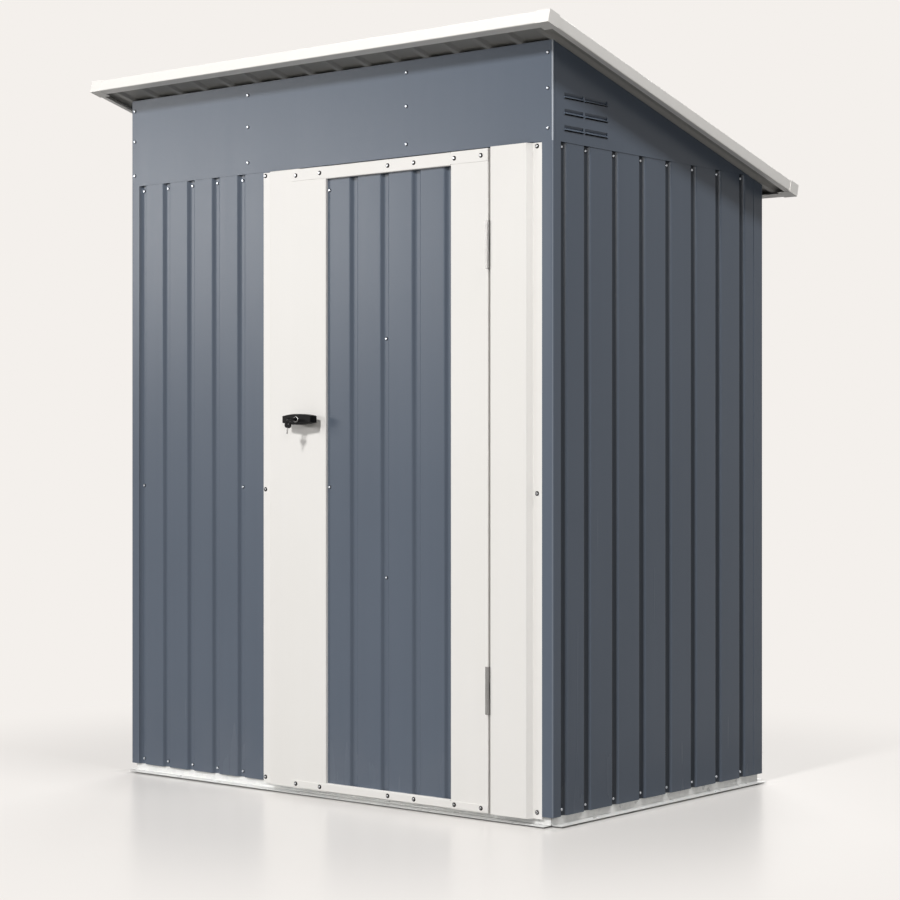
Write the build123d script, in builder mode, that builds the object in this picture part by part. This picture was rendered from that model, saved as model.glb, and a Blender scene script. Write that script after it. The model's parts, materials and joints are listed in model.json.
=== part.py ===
"""Metal storage shed: ribbed steel walls, a lean-to roof with white trims, one hinged door and its T-handle.

Millimetres, +Z up. The origin is on the ground, under the middle of the roof's outline.
X runs across the front, and the door side looks towards -Y.
"""
from math import cos, radians, sin, tan
import os

from build123d import *

os.makedirs("parts", exist_ok=True)

# Sheet metal
sheet = 1.0
rail_sheet = 1.2
fold_radius = 1.5
cut_overrun = 5.0

# Walls
wall_width = 1420.0
wall_depth = 915.0
panel_bottom = 20.0
lap_line = 1577.0
panel_tuck = 24.0
rib_depth = 8.0
rib_mouth = 26.0
rib_floor = 14.0
front_rib_pitch = 93.4
front_rib_inset = 41.0
side_rib_pitch = 113.4
side_corner_rib_inset = 43.0
side_rib_inset = 136.0
back_rib_pitch = 93.4
back_panel_count = 3

# Corner angles, header and gables
front_corner_leg = 30.0
rear_corner_leg = 43.0
corner_radius = 4.0
header_return = 9.0
louvre_lengths = (76.0, 92.0)
louvre_top_height = 6.3
louvre_lip_height = 4.7
louvre_slit = 3.0
louvre_sink = 4.0
louvre_stand = 3.0
louvre_edge_inset = 43.0
louvre_gap = 5.0
louvre_lift = 26.0
louvre_pitch = 37.5
louvre_rows = 3

# Base rails
base_web_height = 50.0
base_lip_reach = 19.0
base_lip_setback = 11.0

# Wall rails
rail_height = 40.0
rail_depth = 20.0
mid_rail_centre = 770.0

# Doorway and jambs
doorway_width = 617.0
left_jamb_face = 103.5
right_jamb_face = 106.5
jamb_step = 8.0
jamb_radius = 3.0
jamb_flange = 25.0
jamb_stand = 19.0
jamb_bottom = 14.0

# Door
door_gap = 5.0
swing_room = 1.0
door_lap = 28.0
lap_clearance = 5.0
door_bottom = 15.0
door_head_gap = 5.0
left_stile_width = 118.5
right_stile_width = 113.5
top_rail_height = 32.0
bottom_rail_height = 21.0
door_frame_lip = 8.0
door_back_sink = 4.0
door_rib_pitch = 101.0
door_rib_inset = 15.0
hem_radius = 0.8
brace_heights = (554.0, 1137.0)
brace_height = 40.0
panel_edge_gap = 0.3

# Hinges
hinge_length = 112.0
hinge_bottoms = (246.0, 1290.0)
barrel_radius = 3.2
pin_radius = 1.8
pin_clearance = 0.3
knuckle_gap = 0.6
leaf_sheet = 1.2
leaf_depth = 20.0
leaf_clearance = 0.7
leaf_wing = 7.0
wing_clearance = 0.5

# Lock
lock_height = 942.0
lock_inset = 54.5
handle_length = 97.0
handle_end_height = 17.0
handle_middle_height = 27.0
handle_depth = 23.0
handle_stand = 17.0
handle_edge_radius = 2.5
stem_radius = 11.0
spindle_radius = 5.0
spindle_clearance = 0.4
cam_length = 62.0
cam_width = 16.0
cam_sheet = 3.0
cam_clearance = 5.0
cylinder_radius = 7.5
cylinder_stand = 2.0
cylinder_rim = 1.0
key_bow_width = 22.0
key_bow_length = 17.0
key_bow_sheet = 4.0
key_bow_radius = 6.0
key_hole_radius = 2.5
key_hole_inset = 4.5
key_sheet = 2.4
key_neck = 8.0
key_neck_length = 6.0

# Roof
roof_pitch = 15.25
roof_seat = 1808.0
roof_front_reach = 99.0
roof_rear_overhang = 80.0
roof_side_reach = 60.0
roof_rib_pitch = 94.6
verge_drop = 5.5
verge_rise = 24.0
verge_top_flange = 44.0
verge_soffit_flange = 16.0
fascia_drop = 5.5
fascia_rise = 24.0
fascia_flange = 25.0
cap_length = 38.0
cap_wall = 1.0
trim_gap = 0.5
purlin_height = 40.0
purlin_width = 25.0

# Places worked out from the sizes above
half_width = wall_width / 2
slope_cos = cos(radians(roof_pitch))
slope_sin = sin(radians(roof_pitch))
roof_rear_reach = wall_depth / slope_cos + roof_rear_overhang
cap_drop = fascia_drop + cap_wall
cap_rise = fascia_rise + cap_wall
front_extent = roof_front_reach * slope_cos + cap_drop * slope_sin
rear_extent = roof_rear_reach * slope_cos + cap_rise * slope_sin
front_y = (front_extent - rear_extent) / 2
back_y = front_y + wall_depth
wall_zone = rib_depth + sheet
inner_x = half_width - wall_zone
front_inner_y = front_y + wall_zone
back_inner_y = back_y - wall_zone
back_seat = roof_seat - wall_depth * tan(radians(roof_pitch))
roof = Plane(origin=(0, front_y, roof_seat), x_dir=(1, 0, 0), z_dir=(0, slope_sin, slope_cos))


def save(part, name):
    """Label one finished piece and write it."""
    part.label = name
    export_step(part, f"parts/{name}.step")


def fold_lines(corners, thickness, radius):
    """Draw the outline of a folded sheet: a corner line, and that line moved to its left by the thickness.

    Each fold is round, with the given radius on its hollow side, or sharp where the radius is zero.
    """
    points = [Vector(*corner) for corner in corners]
    runs = [(end - start).normalized() for start, end in zip(points, points[1:])]
    normals = [Vector(-run.Y, run.X) for run in runs]
    outer_radius = radius + abs(thickness) if radius else radius
    moved = [points[0] + normals[0] * thickness]
    radii = []
    moved_radii = []
    for corner, run, before, after in zip(points[1:], runs[1:], normals, normals[1:]):
        bisector = before + after
        moved.append(corner + bisector * (2 * thickness / bisector.dot(bisector)))
        moved_is_hollow = run.dot(before) * thickness > 0
        radii.append(outer_radius if moved_is_hollow else radius)
        moved_radii.append(radius if moved_is_hollow else outer_radius)
    moved.append(points[-1] + normals[-1] * thickness)
    FilletPolyline(*points, radius=radii)
    Line(points[-1], moved[-1])
    FilletPolyline(*moved, radius=moved_radii)
    Line(moved[0], points[0])


def folded(plane, corners, length, thickness=sheet, radius=fold_radius):
    """A folded sheet: a corner line on a plane, thickened to its left and drawn out along the normal."""
    with BuildPart() as piece:
        with BuildSketch(plane):
            with BuildLine():
                fold_lines(corners, thickness, radius)
            make_face()
        extrude(amount=length)
    return piece.part


def flat(plane, start, end, length):
    """A flat sheet: a straight line on a plane, thickened to its left and drawn out along the normal."""
    run = Vector(*end) - Vector(*start)
    side = Vector(-run.Y, run.X).normalized() * sheet
    with BuildPart() as piece:
        with BuildSketch(plane):
            with BuildLine():
                Polyline(start, end, Vector(*end) + side, Vector(*start) + side, close=True)
            make_face()
        extrude(amount=length)
    return piece.part


def ribbed(first, last, centres):
    """Corners of a ribbed sheet from first to last, as (along, depth), with a groove at each centre."""
    corners = [(first, 0)]
    for centre in centres:
        corners.append((centre - rib_mouth / 2, 0))
        corners.append((centre - rib_floor / 2, rib_depth))
        corners.append((centre + rib_floor / 2, rib_depth))
        corners.append((centre + rib_mouth / 2, 0))
    corners.append((last, 0))
    return corners


def under_roof(part):
    """Trim a wall piece to the plane that the roof sheets rest on."""
    with BuildPart() as piece:
        add(part)
        split(bisect_by=roof, keep=Keep.BOTTOM)
    return piece.part


def mirrored(part):
    """The same piece on the left side."""
    with BuildPart() as piece:
        mirror(part, about=Plane.YZ)
    return piece.part


# Base rails: an angle on each side, its web inside the panels and its lip out on the ground.
base_reach = base_lip_reach + wall_zone
front_web_y = front_inner_y + rail_sheet
side_web_x = inner_x - rail_sheet
lip_end_x = half_width - base_lip_setback

front_base = folded(
    Plane.YZ.offset(-lip_end_x),
    [(front_inner_y - base_reach, 0), (front_web_y, 0), (front_web_y, base_web_height)],
    2 * lip_end_x,
    rail_sheet,
)
save(front_base, "base_rail_front")

back_web_y = back_inner_y - rail_sheet
back_base = folded(
    Plane.YZ.offset(-lip_end_x),
    [(back_web_y, base_web_height), (back_web_y, 0), (back_inner_y + base_reach, 0)],
    2 * lip_end_x,
    rail_sheet,
)
save(back_base, "base_rail_back")

side_base = folded(
    Plane.XZ.offset(-back_web_y),
    [(side_web_x, base_web_height), (side_web_x, 0), (inner_x + base_reach, 0)],
    back_web_y - front_web_y,
    rail_sheet,
)
save(side_base, "base_rail_right")
save(mirrored(side_base), "base_rail_left")

# Wall panels: ribbed sheets with their grooves pressed inwards.
right_flange_start = half_width - front_corner_leg - jamb_flange
doorway_right = right_flange_start - jamb_step - right_jamb_face
doorway_left = doorway_right - doorway_width
left_flange_end = doorway_left - left_jamb_face - jamb_step
panel_end = half_width - corner_radius
panel_height = lap_line + panel_tuck - panel_bottom
panel_plane = Plane.XY.offset(panel_bottom)

front_rib_first = -half_width + front_rib_inset
front_rib_room = left_flange_end - jamb_flange - rib_mouth / 2 - front_rib_first
front_rib_count = int(front_rib_room // front_rib_pitch) + 1
front_centres = [front_rib_first + k * front_rib_pitch for k in range(front_rib_count)]
front_left = folded(
    panel_plane,
    [(x, front_y + depth) for x, depth in ribbed(-panel_end, left_flange_end - trim_gap, front_centres)],
    panel_height,
    radius=0,
)
save(front_left, "front_left_panel")

front_right = flat(panel_plane, (right_flange_start, front_y), (panel_end, front_y), panel_height)
save(front_right, "front_right_panel")

side_rib_room = wall_depth - wall_zone - rib_mouth / 2 - side_rib_inset
side_rib_count = int(side_rib_room // side_rib_pitch) + 1
side_centres = [front_y + side_corner_rib_inset]
side_centres += [front_y + side_rib_inset + k * side_rib_pitch for k in range(side_rib_count)]
side_wall = under_roof(folded(
    panel_plane,
    [(half_width - depth, y) for y, depth in ribbed(front_inner_y, back_inner_y, side_centres)],
    panel_height,
    radius=0,
))
save(side_wall, "right_wall_panel")
save(mirrored(side_wall), "left_wall_panel")

back_panel_width = 2 * panel_end / back_panel_count
back_rib_count = int(back_panel_width // back_rib_pitch)
for number in range(back_panel_count):
    first = panel_end - number * back_panel_width
    middle = first - back_panel_width / 2
    centres = [middle - (k - (back_rib_count - 1) / 2) * back_rib_pitch for k in range(back_rib_count)]
    reversed_line = ribbed(-first, back_panel_width - first, [-centre for centre in centres])
    back_panel = under_roof(folded(
        panel_plane,
        [(-along, back_y - depth) for along, depth in reversed_line],
        panel_height,
        radius=0,
    ))
    save(back_panel, f"back_panel_{number + 1}")

# Corner angles over the panel edges.
corner_plane = Plane.XY.offset(panel_bottom)
front_corner = folded(
    corner_plane,
    [
        (half_width - front_corner_leg, front_y - sheet),
        (half_width + sheet, front_y - sheet),
        (half_width + sheet, front_y + front_corner_leg),
    ],
    lap_line - panel_bottom,
    radius=corner_radius,
)
save(front_corner, "corner_front_right")
save(mirrored(front_corner), "corner_front_left")

rear_corner = under_roof(folded(
    corner_plane,
    [
        (half_width + sheet, back_y - rear_corner_leg),
        (half_width + sheet, back_y + sheet),
        (half_width - front_corner_leg, back_y + sheet),
    ],
    lap_line - panel_bottom,
    radius=corner_radius,
))
save(rear_corner, "corner_rear_right")
save(mirrored(rear_corner), "corner_rear_left")

# Front header, folded round the corners, and the gables with their pressed louvres.
header_height = roof_seat + cut_overrun - lap_line
header_plane = Plane.XY.offset(lap_line)
header_end_y = front_y + header_return
front_header = under_roof(folded(
    header_plane,
    [
        (-half_width - sheet, header_end_y),
        (-half_width - sheet, front_y - sheet),
        (half_width + sheet, front_y - sheet),
        (half_width + sheet, header_end_y),
    ],
    header_height,
    radius=corner_radius,
))
save(front_header, "front_header")

gable_start = (half_width + sheet, header_end_y + trim_gap)
gable_sheet = under_roof(flat(header_plane, gable_start, (half_width + sheet, back_y), header_height))
louvre_starts = [front_y + louvre_edge_inset]
for length in louvre_lengths[:-1]:
    louvre_starts.append(louvre_starts[-1] + length + louvre_gap)
gable_face_x = half_width + sheet
louvre_height = louvre_top_height + louvre_lip_height + louvre_slit
with BuildPart() as gable:
    add(gable_sheet)
    for row in range(louvre_rows):
        slot_low = lap_line + louvre_lift + row * louvre_pitch
        lip_low = slot_low + louvre_slit
        fold_z = lip_low + louvre_lip_height
        slot_high = fold_z + louvre_top_height
        middle_share = louvre_sink / (louvre_sink + louvre_stand)
        middle_z = fold_z - louvre_lip_height * middle_share
        for start, length in zip(louvre_starts, louvre_lengths):
            with BuildSketch(Plane.YZ.offset(gable_face_x)):
                with Locations((start + length / 2, slot_low + louvre_height / 2)):
                    Rectangle(length, louvre_height)
            extrude(amount=-sheet, mode=Mode.SUBTRACT)
            # The sheet over the slit is pressed in at a fold, and its lip stands out over the opening.
            with BuildSketch(Plane.XZ.offset(-start - length)):
                with BuildLine():
                    corners = [
                        (gable_face_x, slot_high + sheet),
                        (gable_face_x, slot_high),
                        (gable_face_x - louvre_sink, fold_z),
                        (gable_face_x + louvre_stand, lip_low),
                    ]
                    fold_lines(corners, -sheet, 0)
                make_face()
            extrude(amount=length)
            # A cheek closes each end.
            for end in (start + sheet, start + length):
                with BuildSketch(Plane.XZ.offset(-end)):
                    with BuildLine():
                        Polyline(
                            (gable_face_x, slot_high),
                            (half_width, slot_high),
                            (gable_face_x - louvre_sink, fold_z),
                            (gable_face_x, middle_z),
                            close=True,
                        )
                    make_face()
                    with BuildLine():
                        Polyline(
                            (half_width, middle_z),
                            (gable_face_x, middle_z),
                            (gable_face_x + louvre_stand, lip_low),
                            (gable_face_x, slot_low),
                            (half_width, slot_low),
                            close=True,
                        )
                    make_face()
                extrude(amount=sheet)
save(gable.part, "gable_right")
save(mirrored(gable.part), "gable_left")

# Wall rails behind the panels: channels at the top of the walls and at mid height.
top_rail_z = back_seat - trim_gap - rail_height


def channel(near, base, away):
    """Corners of a channel with its web at near, its flanges reaching away along the first axis."""
    far = near + away
    return [(far, base), (near, base), (near, base + rail_height), (far, base + rail_height)]


def front_channel(base, left, right):
    """A channel along the front wall, its web against the grooves."""
    corners = list(reversed(channel(front_inner_y, base, rail_depth)))
    return folded(Plane.YZ.offset(left), corners, right - left, rail_sheet)


def back_channel(base):
    """A channel along the back wall."""
    corners = channel(back_inner_y, base, -rail_depth)
    return folded(Plane.YZ.offset(-inner_x), corners, 2 * inner_x, rail_sheet)


def side_channel(base):
    """A channel along the right wall, between the front and back ones."""
    start = front_inner_y + rail_depth + trim_gap
    end = back_inner_y - rail_depth - trim_gap
    corners = channel(inner_x, base, -rail_depth)
    return folded(Plane.XZ.offset(-end), corners, end - start, rail_sheet)


save(front_channel(top_rail_z, -inner_x, inner_x), "top_rail_front")
save(back_channel(top_rail_z), "top_rail_back")
top_side = side_channel(top_rail_z)
save(top_side, "top_rail_right")
save(mirrored(top_side), "top_rail_left")

mid_rail_z = mid_rail_centre - rail_height / 2
mid_front = front_channel(mid_rail_z, -inner_x, left_flange_end - trim_gap)
mid_side = side_channel(mid_rail_z)
save(mid_front, "mid_rail_front")
save(back_channel(mid_rail_z), "mid_rail_back")
save(mid_side, "mid_rail_right")
save(mirrored(mid_side), "mid_rail_left")

# Jambs: a flange on the wall, a step out, the white face and a return into the doorway. The left one stands
# back behind the edge of the door, which laps over it.
jamb_y = front_y - jamb_stand
left_jamb_y = jamb_y + 2 * sheet + lap_clearance
jamb_height = lap_line - door_head_gap / 2 - jamb_bottom
jamb_plane = Plane.XY.offset(jamb_bottom)
left_jamb = folded(
    jamb_plane,
    [
        (left_flange_end - jamb_flange, front_y - sheet),
        (left_flange_end, front_y - sheet),
        (left_flange_end + jamb_step, left_jamb_y),
        (doorway_left, left_jamb_y),
        (doorway_left, front_inner_y),
    ],
    jamb_height,
    radius=jamb_radius,
)
save(left_jamb, "left_jamb")

right_jamb = folded(
    jamb_plane,
    [
        (doorway_right, front_inner_y),
        (doorway_right, jamb_y),
        (right_flange_start - jamb_step, jamb_y),
        (right_flange_start, front_y - sheet),
        (half_width - front_corner_leg, front_y - sheet),
    ],
    jamb_height,
    radius=jamb_radius,
)
save(right_jamb, "right_jamb")

# Door: a ribbed panel held in a white frame of two stiles and two rails, flush with the right jamb.
door_left = doorway_left + door_gap + swing_room
door_right = doorway_right - door_gap
door_top = lap_line - door_head_gap
door_face_y = jamb_y
door_back_y = front_y + door_back_sink
door_crest_y = door_face_y + door_frame_lip
rail_face_y = door_face_y - sheet
lap_edge = door_left - door_lap
stile_inner_left = lap_edge + left_stile_width
stile_inner_right = door_right - right_stile_width
door_plane = Plane.XY.offset(door_bottom)
door_height = door_top - door_bottom
lock_x = lap_edge + lock_inset

with BuildPart() as left_stile:
    with BuildSketch(door_plane):
        with BuildLine():
            hem_radii = [fold_radius + sheet, hem_radius, hem_radius, fold_radius]
            stile_radii = [0, *hem_radii, 0, 0, fold_radius, fold_radius, 0]
            FilletPolyline(
                (stile_inner_left, door_crest_y),
                (stile_inner_left, door_face_y),
                (lap_edge, door_face_y),
                (lap_edge, door_face_y + 2 * sheet),
                (door_left, door_face_y + 2 * sheet),
                (door_left, door_back_y),
                (door_left + sheet, door_back_y),
                (door_left + sheet, door_face_y + sheet),
                (stile_inner_left - sheet, door_face_y + sheet),
                (stile_inner_left - sheet, door_crest_y),
                radius=stile_radii,
                close=True,
            )
        make_face()
    extrude(amount=door_height)
    with BuildSketch(Plane.XZ.offset(-door_face_y)):
        with Locations((lock_x, lock_height)):
            Circle(spindle_radius + spindle_clearance)
    extrude(amount=-sheet, mode=Mode.SUBTRACT)
save(left_stile.part, "door_left_stile")

right_stile = folded(
    door_plane,
    [
        (stile_inner_right, door_crest_y),
        (stile_inner_right, door_face_y),
        (door_right, door_face_y),
        (door_right, door_back_y),
    ],
    door_height,
)
save(right_stile, "door_right_stile")


def door_rail(outer, inner):
    """A rail across the door: a face lapped over both stiles, a lip between them and an edge plate behind."""
    inwards = 1 if inner > outer else -1
    with BuildPart() as rail:
        with BuildSketch(Plane.YZ.offset(stile_inner_left)):
            with BuildLine():
                section = [
                    (door_crest_y, inner),
                    (rail_face_y, inner),
                    (rail_face_y, outer),
                    (door_back_y, outer),
                ]
                fold_lines(section, inwards * sheet, fold_radius)
            make_face()
        extrude(amount=stile_inner_right - stile_inner_left)
        lap_height = abs(outer - inner) - 2 * (fold_radius + sheet)
        with BuildSketch(Plane.XZ.offset(-door_face_y)):
            with Locations(((lap_edge + door_right) / 2, (outer + inner) / 2)):
                Rectangle(door_right - lap_edge, lap_height)
        extrude(amount=sheet)
        with BuildSketch(Plane.XY.offset(outer)):
            with Locations(((door_left + door_right) / 2, (door_crest_y + door_back_y) / 2)):
                Rectangle(door_right - door_left - 2 * sheet, door_back_y - door_crest_y)
        extrude(amount=inwards * sheet)
    return rail.part


save(door_rail(door_top, door_top - top_rail_height), "door_top_rail")
save(door_rail(door_bottom, door_bottom + bottom_rail_height), "door_bottom_rail")

panel_left = door_left + sheet + panel_edge_gap
panel_right = door_right - sheet - panel_edge_gap
door_rib_first = stile_inner_left - door_rib_inset
door_rib_count = int((stile_inner_right - door_rib_first) // door_rib_pitch) + 1
door_centres = [door_rib_first + k * door_rib_pitch for k in range(door_rib_count)]
door_panel_bottom = door_bottom + sheet + panel_edge_gap
door_sheet = folded(
    Plane.XY.offset(door_panel_bottom),
    [(x, door_crest_y + depth) for x, depth in ribbed(panel_left, panel_right, door_centres)],
    door_top - sheet - panel_edge_gap - door_panel_bottom,
    radius=0,
)
with BuildPart() as door_panel:
    add(door_sheet)
    with BuildSketch(Plane.XZ.offset(-door_crest_y)):
        with Locations((lock_x, lock_height)):
            Circle(spindle_radius + spindle_clearance)
    extrude(amount=-sheet, mode=Mode.SUBTRACT)
save(door_panel.part, "door_panel")

brace_y = door_crest_y + wall_zone
with BuildPart() as door_braces:
    for height in brace_heights:
        with BuildSketch(Plane.XY.offset(height - brace_height / 2)):
            with Locations(((panel_left + panel_right) / 2, (brace_y + door_back_y) / 2)):
                Rectangle(panel_right - panel_left, door_back_y - brace_y)
        extrude(amount=brace_height)
save(door_braces.part, "door_braces")

# Hinges: two butt hinges, their leaves in the gap between the door and the right jamb.
hinge_x = (door_right + doorway_right) / 2
hinge_y = door_face_y - barrel_radius
knuckle = (hinge_length - 2 * knuckle_gap) / 3
leaf_start_y = hinge_y + barrel_radius + leaf_clearance


with BuildPart() as jamb_leaves:
    for bottom in hinge_bottoms:
        with BuildSketch(Plane.XY.offset(bottom)):
            with Locations((doorway_right - leaf_sheet / 2, leaf_start_y + leaf_depth / 2)):
                Rectangle(leaf_sheet, leaf_depth)
        extrude(amount=hinge_length)
        for knuckle_bottom in (bottom, bottom + hinge_length - knuckle):
            with BuildSketch(Plane.XY.offset(knuckle_bottom)):
                with Locations((hinge_x, hinge_y)):
                    Circle(barrel_radius)
                with Locations((doorway_right - leaf_sheet / 2, (hinge_y + leaf_start_y) / 2)):
                    Rectangle(leaf_sheet, leaf_start_y - hinge_y)
            extrude(amount=knuckle)
        with BuildSketch(Plane.XY.offset(bottom)):
            with Locations((hinge_x, hinge_y)):
                Circle(pin_radius)
        extrude(amount=hinge_length)
save(jamb_leaves.part, "hinge_jamb_leaves")

with BuildPart() as door_leaves:
    for bottom in hinge_bottoms:
        with BuildSketch(Plane.XY.offset(bottom)):
            with Locations((door_right + leaf_sheet / 2, leaf_start_y + leaf_depth / 2)):
                Rectangle(leaf_sheet, leaf_depth)
            with Locations((door_right - wing_clearance - leaf_wing / 2, door_face_y - leaf_sheet / 2)):
                Rectangle(leaf_wing, leaf_sheet)
        extrude(amount=hinge_length)
        with BuildSketch(Plane.XY.offset(bottom + knuckle + knuckle_gap)):
            with Locations((hinge_x, hinge_y)):
                Circle(barrel_radius)
            with Locations((door_right + leaf_sheet / 2, (hinge_y + leaf_start_y) / 2)):
                Rectangle(leaf_sheet, leaf_start_y - hinge_y)
            with Locations((door_right - leaf_wing / 2, door_face_y - leaf_sheet / 2)):
                Rectangle(leaf_wing + leaf_sheet, leaf_sheet)
            with Locations((hinge_x, hinge_y)):
                Circle(pin_radius + pin_clearance, mode=Mode.SUBTRACT)
        extrude(amount=knuckle)
save(door_leaves.part, "hinge_door_leaves")

# Lock: a T-handle on a stem through the left stile, with a cam behind the jamb.
bar_back_y = door_face_y - handle_stand
bar_front_y = bar_back_y - handle_depth
cam_y = front_inner_y + cam_clearance
with BuildPart() as lock_handle:
    with BuildSketch(Plane.XZ.offset(-bar_back_y)):
        with BuildLine():
            left = lock_x - handle_length / 2
            right = lock_x + handle_length / 2
            low = lock_height - handle_end_height / 2
            high = lock_height + handle_end_height / 2
            Line((left, low), (left, high))
            ThreePointArc((left, high), (lock_x, lock_height + handle_middle_height / 2), (right, high))
            Line((right, high), (right, low))
            ThreePointArc((right, low), (lock_x, lock_height - handle_middle_height / 2), (left, low))
        make_face()
    extrude(amount=handle_depth)
    fillet(lock_handle.faces().sort_by(Axis.Y)[0].edges(), handle_edge_radius)
    with BuildSketch(Plane.XZ.offset(-bar_back_y)):
        with Locations((lock_x, lock_height)):
            Circle(stem_radius)
    extrude(amount=-(handle_stand - trim_gap))
    with BuildSketch(Plane.XZ.offset(-bar_back_y)):
        with Locations((lock_x, lock_height)):
            Circle(spindle_radius)
    extrude(amount=-(cam_y - bar_back_y))
save(lock_handle.part, "lock_handle")

with BuildPart() as lock_cam:
    with BuildSketch(Plane.XZ.offset(-cam_y)):
        with Locations((lock_x, lock_height + cam_length / 2 - cam_width / 2)):
            SlotOverall(cam_length, cam_width, rotation=90)
    extrude(amount=-cam_sheet)
save(lock_cam.part, "lock_cam")

with BuildPart() as lock_cylinder:
    with BuildSketch(Plane.XZ.offset(-bar_front_y)):
        with Locations((lock_x, lock_height)):
            Circle(cylinder_radius)
    extrude(amount=cylinder_stand)
    chamfer(lock_cylinder.faces().sort_by(Axis.Y)[0].edges(), cylinder_rim)
save(lock_cylinder.part, "lock_cylinder")

key_y = bar_front_y - cylinder_stand
bow_y = key_y - key_neck_length - key_bow_length / 2
with BuildPart() as door_key:
    with BuildSketch(Plane.XY.offset(lock_height - key_sheet / 2)):
        with Locations((lock_x, (key_y + bow_y) / 2)):
            Rectangle(key_neck, key_y - bow_y)
    extrude(amount=key_sheet)
    with BuildSketch(Plane.XY.offset(lock_height - key_bow_sheet / 2)):
        with Locations((lock_x, bow_y)):
            RectangleRounded(key_bow_width, key_bow_length, key_bow_radius)
    extrude(amount=key_bow_sheet)
    with Locations((lock_x, bow_y - key_bow_length / 2 + key_hole_inset, lock_height + key_bow_sheet / 2)):
        Hole(key_hole_radius)
save(door_key.part, "door_key")

# Roof: ribbed sheets down the slope, with white trims round the edge.
sheet_edge_x = half_width + roof_side_reach - cap_wall - sheet
sheet_front = -roof_front_reach + cap_wall + sheet
sheet_rear = roof_rear_reach - cap_wall - sheet


def slope_section(y):
    """A plane across the slope at y, with its own y along the roof's normal."""
    return Plane(origin=roof.from_local_coords((0, y, 0)), x_dir=(1, 0, 0), z_dir=-roof.y_dir)


def eaves_section(x):
    """A plane along the slope at x, with its own y along the roof's normal."""
    return Plane(origin=roof.from_local_coords((x, 0, 0)), x_dir=roof.y_dir, z_dir=(1, 0, 0))


roof_rib_count = int(sheet_edge_x // roof_rib_pitch)
for number, first in enumerate((-sheet_edge_x, 0)):
    first_rib = (number - 1) * roof_rib_count + 1 / 2
    centres = [(first_rib + k) * roof_rib_pitch for k in range(roof_rib_count)]
    roof_sheet = folded(
        slope_section(sheet_rear),
        [(x, rib_depth - depth) for x, depth in ribbed(first, first + sheet_edge_x, centres)],
        sheet_rear - sheet_front,
        radius=0,
    )
    save(roof_sheet, f"roof_sheet_{number + 1}")

purlin_y = wall_depth / 2 / slope_cos
purlin = folded(
    eaves_section(-half_width),
    [
        (purlin_y + purlin_width, -purlin_height),
        (purlin_y, -purlin_height),
        (purlin_y, 0),
        (purlin_y + purlin_width, 0),
    ],
    wall_width,
    -rail_sheet,
)
save(purlin, "roof_purlin")


def fascia(face, inwards, name):
    """The trim along the front or the back edge: a face, two flanges and a leg down to the sheets."""
    inner = face + inwards * fascia_flange
    corners = [
        (inner, -fascia_drop),
        (face, -fascia_drop),
        (face, fascia_rise),
        (inner, fascia_rise),
        (inner, wall_zone),
    ]
    trim = folded(eaves_section(-sheet_edge_x), corners, 2 * sheet_edge_x, -inwards * sheet)
    save(trim, name)


fascia(-roof_front_reach + cap_wall, 1, "fascia_front")
fascia(roof_rear_reach - cap_wall, -1, "fascia_back")

verge_face = half_width + roof_side_reach - cap_wall
verge_inner = verge_face - verge_top_flange
soffit_inner = verge_face - verge_soffit_flange
verge_end = cap_wall + fascia_flange + trim_gap
verge = folded(
    slope_section(roof_rear_reach - verge_end),
    [
        (soffit_inner, -verge_drop),
        (verge_face, -verge_drop),
        (verge_face, verge_rise),
        (verge_inner, verge_rise),
        (verge_inner, wall_zone),
    ],
    roof_front_reach + roof_rear_reach - 2 * verge_end,
)
save(verge, "verge_right")
save(mirrored(verge), "verge_left")


def corner_cap(y, inwards):
    """A cap over the right end of one fascia: two outer faces, a top and a bottom."""
    outer_x = half_width + roof_side_reach
    with BuildPart() as cap:
        with BuildSketch(roof.offset(-cap_drop)):
            with Locations((outer_x - cap_length / 2, y + inwards * cap_length / 2)):
                Rectangle(cap_length, cap_length)
        extrude(amount=cap_drop + cap_rise)
        room = cap_length - cap_wall
        with BuildSketch(roof.offset(-fascia_drop)):
            with Locations((outer_x - cap_wall - room / 2, y + inwards * (cap_wall + room / 2))):
                Rectangle(room, room)
        extrude(amount=fascia_drop + fascia_rise, mode=Mode.SUBTRACT)
    return cap.part


front_cap = corner_cap(-roof_front_reach, 1)
rear_cap = corner_cap(roof_rear_reach, -1)
with BuildPart() as corner_caps:
    for cap in (front_cap, rear_cap):
        add(cap)
        mirror(cap, about=Plane.YZ)
save(corner_caps.part, "roof_corner_caps")
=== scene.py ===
# %% [markdown]
# # A metal storage shed
# The solids of the shed come from the imported frame, in metres, and nothing here moves or resizes them. This
# lesson dresses them: it rounds the ribs, puts in the screws, the keys and the floor, and gives each sheet
# its finish. The frame is loaded first.

# %% Load the frame
import json
from math import cos, pi, radians, sin

import bmesh
import bpy
from mathutils import Matrix, Vector


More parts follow.
